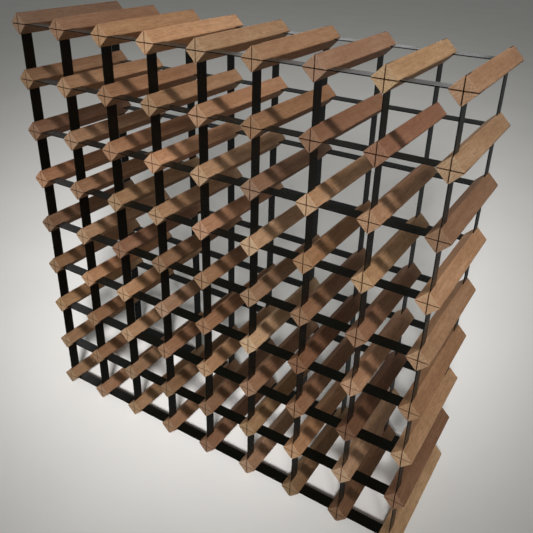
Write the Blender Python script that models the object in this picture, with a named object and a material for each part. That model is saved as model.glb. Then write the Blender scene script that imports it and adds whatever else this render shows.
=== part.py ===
"""A free-standing wine rack: a square grid of wooden bars that lie on their corners, held at both
ends by flat steel strips. The strips run in saw kerfs from corner to corner of each bar end and
pass through one another with half-lap slots. The front faces -Y, X runs across, Z is up, and the
origin is on the floor under the middle of the rack. Lengths are in metres."""

import math

import bmesh
import bpy
from mathutils import Matrix

# Driving dimensions
BARS_PER_SIDE = 9
PITCH = 0.097
BAR_SIDE = 0.027
BAR_LENGTH = 0.242
ARRIS = 0.0012
STRIP_WIDTH = 0.022
STRIP_THICKNESS = 0.0015
STRIP_SETBACK = 0.0035
FIT_GAP = 0.0003
OVERRUN = 0.004

# Sizes worked out from them
HALF_DIAGONAL = (BAR_SIDE - ARRIS) / math.sqrt(2)
GRID_HALF = PITCH * (BARS_PER_SIDE - 1) / 2
MID_HEIGHT = GRID_HALF + HALF_DIAGONAL
STRIP_LENGTH = 2 * (MID_HEIGHT - FIT_GAP)
STRIP_Y = BAR_LENGTH / 2 - STRIP_SETBACK - STRIP_WIDTH / 2
KERF_WIDTH = STRIP_THICKNESS + 2 * FIT_GAP
KERF_DEPTH = STRIP_SETBACK + STRIP_WIDTH + FIT_GAP
SLOT_WIDTH = KERF_WIDTH + FIT_GAP
SLOT_DEPTH = STRIP_WIDTH / 2 + FIT_GAP / 2

# Where the bars stand along X, measured from the middle of the rack, and along Z, from its centre
STATIONS = [PITCH * i - GRID_HALF for i in range(BARS_PER_SIDE)]
FRONT = -1
REAR = 1

WOOD = {"name": "bar_wood", "colour": (0.42, 0.26, 0.15, 1.0), "roughness": 0.6, "metallic": 0.0}
STEEL = {"name": "black_steel", "colour": (0.012, 0.012, 0.012, 1.0), "roughness": 0.4, "metallic": 0.0}


def clear_scene():
    for obj in list(bpy.data.objects):
        bpy.data.objects.remove(obj)


def new_collection(name):
    collection = bpy.data.collections.new(name)
    bpy.context.scene.collection.children.link(collection)
    return collection


def new_material(look):
    material = bpy.data.materials.new(look["name"])
    material.use_nodes = True
    shader = material.node_tree.nodes["Principled BSDF"]
    shader.inputs["Base Color"].default_value = look["colour"]
    shader.inputs["Roughness"].default_value = look["roughness"]
    shader.inputs["Metallic"].default_value = look["metallic"]
    material.diffuse_color = look["colour"]
    return material


def new_object(name, mesh, collection):
    obj = bpy.data.objects.new(name, mesh)
    collection.objects.link(obj)
    return obj


def box_mesh(name, boxes):
    """A mesh with one box for each (size, centre) pair."""
    bm = bmesh.new()
    for size, centre in boxes:
        bmesh.ops.create_cube(bm, size=1.0, matrix=Matrix.Translation(centre) @ Matrix.Diagonal((*size, 1.0)))
    mesh = bpy.data.meshes.new(name)
    bm.to_mesh(mesh)
    bm.free()
    return mesh


def as_tool(obj):
    """Mark an object as one that shapes others and isn't a piece of the rack."""
    obj.hide_render = True
    obj.display_type = "WIRE"
    return obj


def boolean(obj, operation, tool):
    modifier = obj.modifiers.new(tool.name, "BOOLEAN")
    modifier.operation = operation
    modifier.solver = "EXACT"
    modifier.object = as_tool(tool)


def finished_mesh(obj):
    """The object's mesh with its modifiers applied; the object becomes a hidden tool."""
    bpy.context.view_layer.update()
    evaluated = as_tool(obj).evaluated_get(bpy.context.evaluated_depsgraph_get())
    mesh = bpy.data.meshes.new_from_object(evaluated)
    mesh.name = obj.name
    return mesh


def bar_blank(name):
    """A bar along Y, centred at the origin and standing on a corner, with its long edges eased."""
    bm = bmesh.new()
    square_bar = Matrix.Diagonal((BAR_SIDE, BAR_LENGTH, BAR_SIDE, 1.0))
    bmesh.ops.create_cube(bm, size=1.0, matrix=Matrix.Rotation(math.radians(45), 4, "Y") @ square_bar)
    long_edges = [edge for edge in bm.edges if edge.calc_length() > BAR_LENGTH / 2]
    bmesh.ops.bevel(bm, geom=long_edges, offset=ARRIS, segments=1, affect="EDGES")
    mesh = bpy.data.meshes.new(name)
    bm.to_mesh(mesh)
    bm.free()
    return mesh


def kerf(end, upright):
    """The size and centre of the saw kerf at one end of a bar, either upright or level."""
    depth = KERF_DEPTH + OVERRUN
    reach = 2 * (HALF_DIAGONAL + OVERRUN)
    size = (KERF_WIDTH, depth, reach) if upright else (reach, depth, KERF_WIDTH)
    return size, (0.0, end * (BAR_LENGTH / 2 - KERF_DEPTH + depth / 2), 0.0)


def bar_mesh(name, level_kerf_ends, tools):
    """A bar with an upright kerf at both ends, and a level kerf at each end that is listed."""
    bar = new_object(name, bar_blank(name), tools)
    upright = box_mesh("upright_kerfs", [kerf(end, True) for end in (FRONT, REAR)])
    level = box_mesh("level_kerfs", [kerf(end, False) for end in level_kerf_ends])
    boolean(bar, "DIFFERENCE", new_object(name + "_upright_kerfs", upright, tools))
    boolean(bar, "DIFFERENCE", new_object(name + "_level_kerfs", level, tools))
    return finished_mesh(bar)


def strip_mesh(name, slot_side, tools):
    """A strip along X, centred at the origin, with its half-lap slots open to slot_side along Y."""
    blank = box_mesh(name, [((STRIP_LENGTH, STRIP_WIDTH, STRIP_THICKNESS), (0.0, 0.0, 0.0))])
    strip = new_object(name, blank, tools)
    size = (SLOT_WIDTH, SLOT_DEPTH + OVERRUN, STRIP_THICKNESS + 2 * OVERRUN)
    slot_y = slot_side * (STRIP_WIDTH - SLOT_DEPTH + OVERRUN) / 2
    slots = box_mesh("slots", [(size, (x, slot_y, 0.0)) for x in STATIONS])
    boolean(strip, "DIFFERENCE", new_object(name + "_slots", slots, tools))
    return finished_mesh(strip)


def row_mesh(strip, bar, tools):
    """A row's inner bars in one body with the level strip that holds their rear ends."""
    rear_strip = strip.copy()
    rear_strip.transform(Matrix.Translation((0.0, STRIP_Y, 0.0)) @ Matrix.Rotation(math.pi, 4, "Z"))
    row = new_object("row", rear_strip, tools)
    for x in STATIONS[1:-1]:
        inner_bar = new_object("inner_bar", bar, tools)
        inner_bar.location.x = x
        boolean(row, "UNION", inner_bar)
    return finished_mesh(row)


def build():
    clear_scene()
    rack = new_collection("wine_rack")
    tools = new_collection("tools")
    base = new_object("wine_rack_origin", None, rack)
    wood = new_material(WOOD)
    steel = new_material(STEEL)

    # The slots of a front strip: level strips are open to the front, upright ones to the back.
    level_strip = strip_mesh("level_strip", FRONT, tools)
    upright_strip = strip_mesh("upright_strip", REAR, tools)
    end_bar = bar_mesh("end_bar", [FRONT, REAR], tools)
    row = row_mesh(level_strip, bar_mesh("row_bar", [FRONT], tools), tools)
    upright_strip.transform(Matrix.Rotation(math.radians(90), 4, "Y"))
    for mesh in (end_bar, row):
        mesh.materials.append(wood)
    for mesh in (level_strip, upright_strip):
        mesh.materials.append(steel)

    def place(name, mesh, location, turn=0.0):
        obj = new_object(name, mesh, rack)
        obj.location = location
        obj.rotation_euler.z = turn
        obj.parent = base

    for i, station in enumerate(STATIONS, start=1):
        height = MID_HEIGHT + station
        place(f"row_{i}_bars_and_rear_strip", row, (0.0, 0.0, height))
        place(f"row_{i}_left_bar", end_bar, (STATIONS[0], 0.0, height))
        place(f"row_{i}_right_bar", end_bar, (STATIONS[-1], 0.0, height))
        place(f"row_{i}_front_strip", level_strip, (0.0, FRONT * STRIP_Y, height))
        place(f"column_{i}_front_strip", upright_strip, (station, FRONT * STRIP_Y, MID_HEIGHT))
        place(f"column_{i}_rear_strip", upright_strip, (station, REAR * STRIP_Y, MID_HEIGHT), math.pi)


build()
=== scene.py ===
"""Looks of the wine rack: 81 wooden bars held on a grid of black painted steel strips."""

import math
import random

import bmesh
import bpy
from mathutils import Euler, Matrix, Vector


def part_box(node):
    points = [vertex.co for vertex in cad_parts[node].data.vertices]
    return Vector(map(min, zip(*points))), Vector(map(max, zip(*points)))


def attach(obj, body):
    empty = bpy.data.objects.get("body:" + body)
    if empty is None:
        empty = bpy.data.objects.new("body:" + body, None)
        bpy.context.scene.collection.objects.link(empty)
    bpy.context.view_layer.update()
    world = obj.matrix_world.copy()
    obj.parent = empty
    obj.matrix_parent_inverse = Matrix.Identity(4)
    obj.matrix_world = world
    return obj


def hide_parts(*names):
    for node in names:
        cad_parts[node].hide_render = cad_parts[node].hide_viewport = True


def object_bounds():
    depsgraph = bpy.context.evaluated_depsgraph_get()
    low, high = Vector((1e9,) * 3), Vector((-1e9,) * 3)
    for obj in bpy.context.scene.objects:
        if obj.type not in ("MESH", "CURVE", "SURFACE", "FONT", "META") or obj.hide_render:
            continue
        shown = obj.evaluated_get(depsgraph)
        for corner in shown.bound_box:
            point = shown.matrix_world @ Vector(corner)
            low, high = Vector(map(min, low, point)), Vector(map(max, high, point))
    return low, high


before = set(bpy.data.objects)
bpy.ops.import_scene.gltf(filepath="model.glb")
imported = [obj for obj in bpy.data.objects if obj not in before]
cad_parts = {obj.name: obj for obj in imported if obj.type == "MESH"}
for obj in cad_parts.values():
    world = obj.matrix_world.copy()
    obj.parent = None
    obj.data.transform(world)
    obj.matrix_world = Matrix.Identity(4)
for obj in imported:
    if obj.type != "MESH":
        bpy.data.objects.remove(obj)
cad_low, cad_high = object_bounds()

# The grid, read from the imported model.
COUNT = 9
LINES = range(1, COUNT + 1)
corner_bar_low, corner_bar_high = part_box("row_1_left_bar")
HALF_DIAGONAL = (corner_bar_high.x - corner_bar_low.x) / 2
BAR_FRONT = corner_bar_low.y
BAR_REAR = corner_bar_high.y
level_low, level_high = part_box("row_1_front_strip")
STRIP_LENGTH = level_high.x - level_low.x
STRIP_WIDTH = level_high.y - level_low.y
STRIP_THICKNESS = level_high.z - level_low.z
STRIP_Y = (level_low.y + level_high.y) / 2
MID_HEIGHT = (cad_low.z + cad_high.z) / 2


def middle(node, axis):
    """Middle of a node's box along one axis."""
    low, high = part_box(node)
    return (low[axis] + high[axis]) / 2


COLUMN_X = {i: middle(f"column_{i}_front_strip", 0) for i in LINES}
ROW_Z = {i: middle(f"row_{i}_front_strip", 2) for i in LINES}

# Bars.
BAR_SIDE = 0.027
ARRIS_RADIUS = (BAR_SIDE / math.sqrt(2) - HALF_DIAGONAL) / (math.sqrt(2) - 1)
ARRIS_SEGMENTS = 5
END_EASE = 0.0005
END_EASE_MIDDLE = 0.3 * END_EASE
KERF_PLAY = 0.00025
KERF_WIDTH = STRIP_THICKNESS + KERF_PLAY
KERF_DEPTH = 0.0262
BAR_SLIDE = 0.0004
BAR_TWIST = math.radians(0.3)

# How much the bars differ in depth, redness and yellowness of colour; darker bars are redder.
TONE_SPREAD = 0.24
RED_SPREAD = 0.050
RED_WITH_DEPTH = 0.16
YELLOW_SPREAD = 0.045
PITH_NEAR = 0.035
PITH_FAR = 0.12
PITH_ALONG = 5.0

# Strips.
SLOT_PLAY = 0.0006
SLOT_WIDTH = STRIP_THICKNESS + SLOT_PLAY
LAP_PLAY = 0.00015
SLOT_DEPTH = STRIP_WIDTH / 2 + LAP_PLAY
STRIP_EDGE = 0.0002
STRIP_EDGE_SEGMENTS = 2

# Cutting and shading.
OVERRUN = 0.002
FLAT_FROM = 0.0005
SHARP_FROM = math.radians(32)


def mesh_from(bm, name):
    """Turn a bmesh into a mesh datablock."""
    bmesh.ops.recalc_face_normals(bm, faces=bm.faces)
    mesh = bpy.data.meshes.new(name)
    bm.to_mesh(mesh)
    bm.free()
    return mesh


def box_bmesh(low, high):
    """A closed box between two corners."""
    bm = bmesh.new()
    bmesh.ops.create_cube(bm, size=1.0)
    size = Vector(high) - Vector(low)
    centre = (Vector(high) + Vector(low)) / 2
    bmesh.ops.scale(bm, vec=size, verts=bm.verts)
    bmesh.ops.translate(bm, vec=centre, verts=bm.verts)
    return bm


def cut(mesh, tools):
    """Subtract each tool mesh and return the finished mesh."""
    body = bpy.data.objects.new("blank", mesh)
    bpy.context.scene.collection.objects.link(body)
    used = []
    for tool_mesh in tools:
        tool = bpy.data.objects.new("cutter", tool_mesh)
        bpy.context.scene.collection.objects.link(tool)
        modifier = body.modifiers.new("cut", "BOOLEAN")
        modifier.operation = "DIFFERENCE"
        modifier.solver = "EXACT"
        modifier.object = tool
        used.append(tool)
    depsgraph = bpy.context.evaluated_depsgraph_get()
    result = bpy.data.meshes.new_from_object(body.evaluated_get(depsgraph))
    for item in [body] + used:
        bpy.data.objects.remove(item)
    return result


def width(mesh, polygon):
    """Area of a face over its longest edge."""
    ends = [(mesh.vertices[a].co, mesh.vertices[b].co) for a, b in polygon.edge_keys]
    return polygon.area / max((a - b).length for a, b in ends)


def shade(mesh):
    """Smooth the narrow faces of eased edges and leave the broad faces flat."""
    mesh.set_sharp_from_angle(angle=SHARP_FROM)
    smooth = [width(mesh, polygon) < FLAT_FROM for polygon in mesh.polygons]
    mesh.polygons.foreach_set("use_smooth", smooth)
    return mesh


def rounded_diamond():
    """Section of a bar, standing on one arris, as (x, z) points."""
    points = []
    reach = BAR_SIDE / math.sqrt(2) - ARRIS_RADIUS * math.sqrt(2)
    for quarter in range(4):
        heading = quarter * math.pi / 2
        cx = reach * math.cos(heading)
        cz = reach * math.sin(heading)
        for step in range(ARRIS_SEGMENTS + 1):
            angle = heading - math.pi / 4 + math.pi / 2 * step / ARRIS_SEGMENTS
            points.append((cx + ARRIS_RADIUS * math.cos(angle), cz + ARRIS_RADIUS * math.sin(angle)))
    return points


def bar_mesh():
    """One bar on the Y axis, with eased ends and a cross of saw kerfs in each end."""
    section = rounded_diamond()
    shrink = 1 - END_EASE / HALF_DIAGONAL
    middle_shrink = 1 - END_EASE_MIDDLE / HALF_DIAGONAL
    stations = [
        (BAR_FRONT, shrink),
        (BAR_FRONT + END_EASE_MIDDLE, middle_shrink),
        (BAR_FRONT + END_EASE, 1.0),
        (BAR_REAR - END_EASE, 1.0),
        (BAR_REAR - END_EASE_MIDDLE, middle_shrink),
        (BAR_REAR, shrink),
    ]
    bm = bmesh.new()
    rings = []
    for y, scale in stations:
        rings.append([bm.verts.new((x * scale, y, z * scale)) for x, z in section])
    for first, second in zip(rings, rings[1:]):
        for i in range(len(section)):
            j = (i + 1) % len(section)
            bm.faces.new((first[i], first[j], second[j], second[i]))
    bm.faces.new(rings[0])
    bm.faces.new(list(reversed(rings[-1])))
    blank = mesh_from(bm, "bar_blank")
    half = HALF_DIAGONAL + OVERRUN
    tools = []
    for outer, inner in (
        (BAR_FRONT - OVERRUN, BAR_FRONT + KERF_DEPTH),
        (BAR_REAR + OVERRUN, BAR_REAR - KERF_DEPTH),
    ):
        near = min(outer, inner)
        far = max(outer, inner)
        upright = box_bmesh((-KERF_WIDTH / 2, near, -half), (KERF_WIDTH / 2, far, half))
        level = box_bmesh((-half, near, -KERF_WIDTH / 2), (half, far, KERF_WIDTH / 2))
        tools.append(mesh_from(upright, "kerf"))
        tools.append(mesh_from(level, "kerf"))
    return shade(cut(blank, tools))


def strip_mesh(slots_to_front):
    """One strip along X, flat in the XY plane, with a half-lap slot at each crossing."""
    half_length = STRIP_LENGTH / 2
    half_width = STRIP_WIDTH / 2
    half_thickness = STRIP_THICKNESS / 2
    bm = box_bmesh(
        (-half_length, -half_width, -half_thickness), (half_length, half_width, half_thickness)
    )
    bmesh.ops.bevel(
        bm,
        geom=list(bm.edges),
        offset=STRIP_EDGE,
        segments=STRIP_EDGE_SEGMENTS,
        profile=0.5,
        affect="EDGES",
    )
    blank = mesh_from(bm, "strip_blank")
    tools = []
    for i in LINES:
        x = COLUMN_X[i]
        if slots_to_front:
            low_y = -half_width - OVERRUN
            high_y = -half_width + SLOT_DEPTH
        else:
            low_y = half_width - SLOT_DEPTH
            high_y = half_width + OVERRUN
        tool = box_bmesh(
            (x - SLOT_WIDTH / 2, low_y, -half_thickness - OVERRUN),
            (x + SLOT_WIDTH / 2, high_y, half_thickness + OVERRUN),
        )
        tools.append(mesh_from(tool, "slot"))
    return shade(cut(blank, tools))


rack = []


def add_piece(name, shared_mesh, matrix, material, node):
    """Place a copy of a mesh, in the frame's own coordinates, and hide the imported part it stands
    for.
    """
    mesh = shared_mesh.copy()
    mesh.name = name
    mesh.transform(matrix)
    mesh.materials.clear()
    mesh.materials.append(material)
    piece = bpy.data.objects.new(name, mesh)
    bpy.context.scene.collection.objects.link(piece)
    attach(piece, "root")
    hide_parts(node)
    rack.append(piece)
    return piece


class Nodes:
    """Short ways to add and join shader nodes."""

    def __init__(self, name):
        self.material = bpy.data.materials.new(name)
        self.material.use_nodes = True
        self.tree = self.material.node_tree
        self.shader = self.tree.nodes["Principled BSDF"]

    def add(self, kind, **settings):
        node = self.tree.nodes.new(kind)
        for key, value in settings.items():
            setattr(node, key, value)
        return node

    def join(self, source, target):
        self.tree.links.new(source, target)

    def scaled(self, vector, scale):
        node = self.add("ShaderNodeMapping", vector_type="POINT")
        node.inputs["Scale"].default_value = scale
        self.join(vector, node.inputs["Vector"])
        return node.outputs["Vector"]

    def noise(self, vector, detail, roughness=0.5):
        node = self.add("ShaderNodeTexNoise")
        node.inputs["Scale"].default_value = 1.0
        node.inputs["Detail"].default_value = detail
        node.inputs["Roughness"].default_value = roughness
        self.join(vector, node.inputs["Vector"])
        return node.outputs["Fac"]

    def math(self, operation, first, second=None):
        node = self.add("ShaderNodeMath", operation=operation)
        for socket, value in zip(node.inputs, (first, second)):
            if value is None:
                continue
            if isinstance(value, (int, float)):
                socket.default_value = value
            else:
                self.join(value, socket)
        return node.outputs[0]

    def span(self, value, low, high, to_low, to_high):
        node = self.add("ShaderNodeMapRange")
        for key, number in (
            ("From Min", low),
            ("From Max", high),
            ("To Min", to_low),
            ("To Max", to_high),
        ):
            node.inputs[key].default_value = number
        self.join(value, node.inputs["Value"])
        return node.outputs["Result"]

    def mix(self, factor, first, second, blend="MIX"):
        node = self.add("ShaderNodeMix", data_type="RGBA", blend_type=blend)
        for key, value in ((0, factor), (6, first), (7, second)):
            if isinstance(value, (int, float)):
                node.inputs[key].default_value = value
            elif isinstance(value, tuple):
                node.inputs[key].default_value = (*value, 1.0)
            else:
                self.join(value, node.inputs[key])
        return node.outputs[2]

    def attribute(self, name):
        return self.add("ShaderNodeAttribute", attribute_type="OBJECT", attribute_name=name)


# Wood colours, linear.
WOOD = (0.510, 0.296, 0.163)
WOOD_LIGHT = (0.660, 0.420, 0.252)
WOOD_DARK = (0.330, 0.164, 0.078)
LATEWOOD = (0.310, 0.150, 0.070)
PORE = (0.215, 0.098, 0.046)
# End grain colours: part the wood's own end grain, part painted light, made lighter to stand in for
# front light and floor bounce on the end faces.
LIT_END_WOOD = (1.0, 0.650, 0.400)
LIT_END_LATEWOOD = (0.610, 0.340, 0.185)
LIT_END_PORE = (0.330, 0.165, 0.084)
GROWTH_RING = 0.0034
RING_WANDER = 16.0
RING_SHARPNESS = 2.2
GRAIN_SLOPE = 0.012

# Black paint.
PAINT = (0.0034, 0.0044, 0.0029, 1.0)


def wood_material():
    """Fine, low contrast wood with the grain along Y and its own end grain, painted lighter than the
    sides as painted light on the end faces.
    """
    n = Nodes("bar_wood")
    place = n.add("ShaderNodeTexCoord").outputs["Object"]
    pith = n.attribute("pith").outputs["Vector"]
    from_pith = n.add("ShaderNodeVectorMath", operation="SUBTRACT")
    n.join(place, from_pith.inputs[0])
    n.join(pith, from_pith.inputs[1])
    local = from_pith.outputs["Vector"]

    drift = n.noise(n.scaled(local, (55.0, 7.0, 55.0)), 3.0)
    blotch = n.noise(n.scaled(local, (150.0, 45.0, 150.0)), 3.0, 0.6)
    streak = n.noise(n.scaled(local, (330.0, 7.5, 330.0)), 3.0, 0.55)
    fibre = n.noise(n.scaled(local, (1150.0, 26.0, 1150.0)), 4.0, 0.6)
    fleck = n.noise(n.scaled(local, (760.0, 110.0, 760.0)), 2.0, 0.5)

    flat = n.add("ShaderNodeVectorMath", operation="MULTIPLY")
    flat.inputs[1].default_value = (1.0, GRAIN_SLOPE, 1.0)
    n.join(local, flat.inputs[0])
    radius = n.add("ShaderNodeVectorMath", operation="LENGTH")
    n.join(flat.outputs["Vector"], radius.inputs[0])
    turns = n.math("MULTIPLY", radius.outputs["Value"], 2 * math.pi / GROWTH_RING)
    wander = n.math("MULTIPLY", drift, RING_WANDER)
    phase = n.math("ADD", turns, wander)
    ring = n.span(n.math("SINE", phase), -1.0, 1.0, 0.0, 1.0)
    ring = n.math("POWER", ring, RING_SHARPNESS)

    side = n.mix(n.span(drift, 0.35, 0.68, 0.0, 0.70), WOOD, WOOD_LIGHT)
    side = n.mix(n.span(blotch, 0.42, 0.70, 0.0, 0.45), side, WOOD_DARK)
    side = n.mix(n.span(streak, 0.45, 0.72, 0.0, 0.30), side, WOOD_DARK)
    side = n.mix(n.math("MULTIPLY", ring, 0.14), side, LATEWOOD)
    side = n.mix(n.span(fibre, 0.42, 0.75, 0.0, 0.45), side, LATEWOOD)
    side = n.mix(n.span(fleck, 0.56, 0.74, 0.0, 0.60), side, PORE)

    rays = n.noise(n.scaled(local, (460.0, 460.0, 120.0)), 3.0, 0.6)
    pores = n.noise(n.scaled(local, (1100.0, 60.0, 1100.0)), 2.0, 0.6)
    # End faces: end grain pattern on colours painted lighter than the sides, standing in for the
    # light that falls on the ends.
    end = n.mix(n.math("MULTIPLY", ring, 0.42), LIT_END_WOOD, LIT_END_LATEWOOD)
    end = n.mix(n.span(blotch, 0.40, 0.70, 0.0, 0.45), end, LIT_END_LATEWOOD)
    end = n.mix(n.span(rays, 0.42, 0.75, 0.0, 0.60), end, LIT_END_LATEWOOD)
    end = n.mix(n.span(pores, 0.52, 0.74, 0.0, 0.60), end, LIT_END_PORE)

    normal = n.add("ShaderNodeNewGeometry").outputs["Normal"]
    split = n.add("ShaderNodeSeparateXYZ")
    n.join(normal, split.inputs[0])
    facing_end = n.span(n.math("ABSOLUTE", split.outputs["Y"]), 0.55, 0.9, 0.0, 1.0)
    colour = n.mix(facing_end, side, end)
    colour = n.mix(1.0, colour, n.attribute("tint").outputs["Color"], "MULTIPLY")
    n.join(colour, n.shader.inputs["Base Color"])

    gloss = n.math("ADD", n.span(drift, 0.3, 0.7, 0.42, 0.52), n.math("MULTIPLY", fibre, 0.12))
    gloss = n.math("ADD", gloss, n.math("MULTIPLY", facing_end, 0.14))
    n.join(gloss, n.shader.inputs["Roughness"])
    n.shader.inputs["Specular IOR Level"].default_value = 0.40

    bump = n.add("ShaderNodeBump")
    bump.inputs["Strength"].default_value = 0.22
    bump.inputs["Distance"].default_value = 0.0003
    relief = n.math("ADD", fibre, n.math("MULTIPLY", fleck, -0.6))
    relief = n.math("ADD", relief, n.math("MULTIPLY", n.math("MULTIPLY", rays, facing_end), 0.8))
    n.join(relief, bump.inputs["Height"])
    n.join(bump.outputs["Normal"], n.shader.inputs["Normal"])
    return n.material


def steel_material():
    """Black painted strip steel, satin, with a slightly uneven coat."""
    n = Nodes("black_steel")
    n.shader.inputs["Base Color"].default_value = PAINT
    n.shader.inputs["Specular IOR Level"].default_value = 0.28
    place = n.add("ShaderNodeTexCoord").outputs["Object"]
    patches = n.noise(n.scaled(place, (24.0, 24.0, 24.0)), 3.0)
    peel = n.noise(n.scaled(place, (620.0, 620.0, 620.0)), 2.0)
    uneven = n.span(patches, 0.3, 0.7, 0.24, 0.34)
    n.join(n.math("ADD", uneven, n.span(peel, 0.3, 0.7, -0.03, 0.05)), n.shader.inputs["Roughness"])
    return n.material


def floor_material():
    """Plain pale matt floor with a barely visible mottle."""
    n = Nodes("pale_floor")
    place = n.add("ShaderNodeTexCoord").outputs["Object"]
    mottle = n.noise(n.scaled(place, (3.0, 3.0, 3.0)), 4.0)
    colour = n.mix(n.span(mottle, 0.3, 0.7, 0.0, 1.0), FLOOR_COLOUR, FLOOR_MOTTLE)
    n.join(colour, n.shader.inputs["Base Color"])
    n.shader.inputs["Roughness"].default_value = 0.85
    n.shader.inputs["Specular IOR Level"].default_value = 0.15
    return n.material


# Pieces.
wood = wood_material()
steel = steel_material()
bar = bar_mesh()
draw = random.Random(8)


def bar_node(row, column):
    """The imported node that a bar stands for."""
    if column == 1:
        return f"row_{row}_left_bar"
    if column == COUNT:
        return f"row_{row}_right_bar"
    return f"row_{row}_bars_and_rear_strip"


for row in LINES:
    for column in LINES:
        slide = draw.uniform(-BAR_SLIDE, BAR_SLIDE)
        twist = draw.uniform(-BAR_TWIST, BAR_TWIST)
        place = Matrix.Translation((COLUMN_X[column], slide, ROW_Z[row]))
        turn = Matrix.Rotation(twist, 4, "Y")
        half_turn = Matrix.Rotation(math.pi / 2 * draw.randrange(4), 4, "Y")
        piece = add_piece(
            f"bar_{row}_{column}", bar, place @ turn @ half_turn, wood,
            bar_node(row, column),
        )
        bearing = draw.uniform(0, 2 * math.pi)
        distance = draw.uniform(PITH_NEAR, PITH_FAR)
        piece["pith"] = (
            COLUMN_X[column] + distance * math.cos(bearing),
            draw.uniform(-PITH_ALONG, PITH_ALONG),
            ROW_Z[row] + distance * math.sin(bearing),
        )
        depth = draw.gauss(0.0, TONE_SPREAD)
        red = draw.gauss(0.0, RED_SPREAD) - RED_WITH_DEPTH * depth
        yellow = draw.gauss(0.0, YELLOW_SPREAD)
        piece["tint"] = (
            math.exp(depth + red / 2), math.exp(depth - red / 2), math.exp(depth - red / 2 - yellow)
        )

level_strip = strip_mesh(True)
upright_strip = strip_mesh(False)
TURN_UPRIGHT = Matrix.Rotation(-math.pi / 2, 4, "Y")
TURN_TO_REAR = Matrix.Diagonal((1.0, -1.0, 1.0, 1.0))

for i in LINES:
    for side, y, flip in (("front", STRIP_Y, Matrix()), ("rear", -STRIP_Y, TURN_TO_REAR)):
        level = Matrix.Translation((0, y, ROW_Z[i])) @ flip
        upright = Matrix.Translation((COLUMN_X[i], y, MID_HEIGHT)) @ TURN_UPRIGHT @ flip
        level_node = f"row_{i}_front_strip" if side == "front" else f"row_{i}_bars_and_rear_strip"
        add_piece(f"level_strip_{side}_{i}", level_strip, level, steel, level_node)
        add_piece(
            f"upright_strip_{side}_{i}", upright_strip, upright, steel,
            f"column_{i}_{side}_strip",
        )

# Floor and light.
FLOOR_COLOUR = (0.735, 0.715, 0.690)
FLOOR_MOTTLE = (0.705, 0.686, 0.662)
FLOOR_HALF = 40.0
FLOOR_SQUARES = 8
bm = bmesh.new()
bmesh.ops.create_grid(bm, x_segments=FLOOR_SQUARES, y_segments=FLOOR_SQUARES, size=FLOOR_HALF)
floor = bpy.data.objects.new("floor", mesh_from(bm, "floor"))
floor.location = (0, 0, cad_low.z)
floor.data.materials.append(floor_material())
bpy.context.scene.collection.objects.link(floor)
floor.visible_diffuse = False
floor.visible_glossy = False


WHITE = (1.0, 1.0, 1.0)


def aimed_light(name, kind, heading, distance, target, energy, size=0.0, spread=0.0, colour=WHITE):
    """A lamp at a distance from a target, along a heading, facing it; spread is in degrees."""
    data = bpy.data.lights.new(name, kind)
    data.energy = energy
    data.color = colour
    lamp = bpy.data.objects.new(name, data)
    heading = Vector(heading).normalized()
    lamp.location = Vector(target) + heading * distance
    lamp.rotation_euler = heading.to_track_quat("Z", "Y").to_euler()
    lamp.visible_camera = False
    if kind == "AREA":
        data.shape = "DISK"
        data.size = size
    if kind == "SPOT":
        data.shadow_soft_size = size / 2
        data.spot_blend = 1.0
        data.spot_size = math.radians(spread)
    if kind == "SUN":
        data.angle = math.radians(spread)
    bpy.context.scene.collection.objects.link(lamp)
    return lamp


def receive_only(lamp, things):
    """Let a lamp light these objects and nothing else."""
    receivers = bpy.data.collections.new(lamp.name + "_receivers")
    for thing in things:
        receivers.objects.link(thing)
    lamp.light_linking.receiver_collection = receivers


# The rack has lamps of its own, which leave the floor alone.
CENTRE = (0.0, 0.0, MID_HEIGHT)
WARM = (1.0, 0.905, 0.870)
key = aimed_light(
    "key", "SPOT", (0.45, -0.40, 1.0), 4.0, (0.02, 0.0, 0.46), 1300.0, 0.95, 10, WARM
)
left_softbox = aimed_light(
    "left_softbox", "SPOT", (-0.5, -1.0, 0.5), 3.2, (0.0, 0.0, 0.42), 118.0, 1.4, 24
)
top_softbox = aimed_light(
    "top_softbox", "SPOT", (0.1, 0.25, 1.0), 3.2, (0.03, 0.0, 0.45), 115.0, 1.6, 24
)
side_softbox = aimed_light("side_softbox", "AREA", (-1.0, 0.45, 0.70), 3.2, CENTRE, 3.4, 1.0)
rear_softbox = aimed_light("rear_softbox", "AREA", (-0.15, 1.0, 0.12), 3.2, CENTRE, 18.0, 2.0)
rear_softbox.visible_glossy = False
for lamp in (key, left_softbox, top_softbox, side_softbox, rear_softbox):
    receive_only(lamp, rack)

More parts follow.
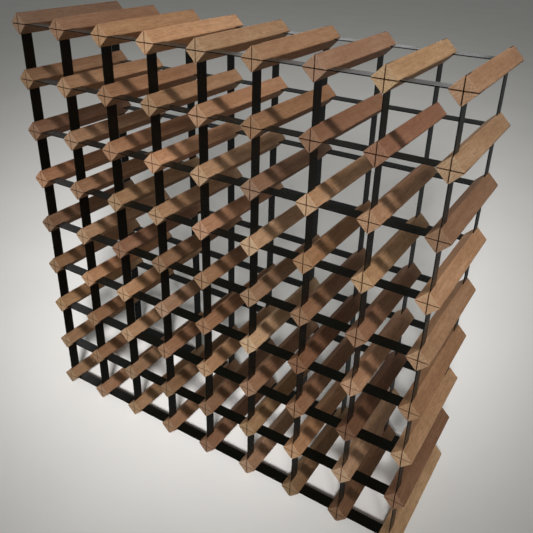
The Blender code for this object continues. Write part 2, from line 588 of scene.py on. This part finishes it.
# A long low panel that only the topmost level strips mirror.
back_panel = aimed_light("back_panel", "AREA", (-0.34, 0.94, 0.30), 3.0, CENTRE, 3.3, 1.5)
back_panel.data.shape = "RECTANGLE"
back_panel.data.size_y = 0.5
back_panel.visible_diffuse = False
top_names = (f"level_strip_front_{COUNT}", f"level_strip_rear_{COUNT}")
receive_only(back_panel, [piece for piece in rack if piece.name in top_names])

# The floor's lamps: a broad one low in front, a soft one high in front and an even sky.
floor_lamp = aimed_light(
    "floor_lamp", "SPOT", (0.46, -0.87, 0.35), 4.67, (-1.15, 2.1, 0.0), 760.0, 0.4, 54
)
floor_front = aimed_light(
    "floor_front", "SPOT", (0.45, -0.60, 1.0), 6.0, (2.3, -2.8, 0.0), 850.0, 1.5, 78
)
floor_sky = aimed_light("floor_sky", "SUN", (0.0, 0.0, 1.0), 5.0, CENTRE, 0.20, spread=140)
for lamp in (floor_lamp, floor_front, floor_sky):
    receive_only(lamp, [floor])

# A dim even surround lights the scene; the camera sees a paler one behind the floor.
world = bpy.data.worlds.new("pale_grey")
world.use_nodes = True
tree = world.node_tree
surround = tree.nodes["Background"]
surround.inputs["Color"].default_value = (0.95, 1.0, 0.96, 1.0)
surround.inputs["Strength"].default_value = 0.135
backdrop = tree.nodes.new("ShaderNodeBackground")
backdrop.inputs["Color"].default_value = (0.50, 0.50, 0.485, 1.0)
path = tree.nodes.new("ShaderNodeLightPath")
choice = tree.nodes.new("ShaderNodeMixShader")
tree.links.new(path.outputs["Is Camera Ray"], choice.inputs[0])
tree.links.new(surround.outputs[0], choice.inputs[1])
tree.links.new(backdrop.outputs[0], choice.inputs[2])
tree.links.new(choice.outputs[0], tree.nodes["World Output"].inputs["Surface"])
bpy.context.scene.world = world
bpy.context.scene.view_settings.view_transform = "Standard"

# Camera: standing at the right, looking down and to the left.
camera_data = bpy.data.cameras.new("camera")
camera_data.sensor_width = 36.0
camera_data.lens = 41.39
camera_data.shift_y = -0.065
camera = bpy.data.objects.new("camera", camera_data)
camera.location = (0.5648, -0.8361, 0.9627)
camera.rotation_euler = Euler([math.radians(a) for a in (63.1305, -1.3555, 32.0734)], "XYZ")
bpy.context.scene.collection.objects.link(camera)
bpy.context.scene.camera = camera
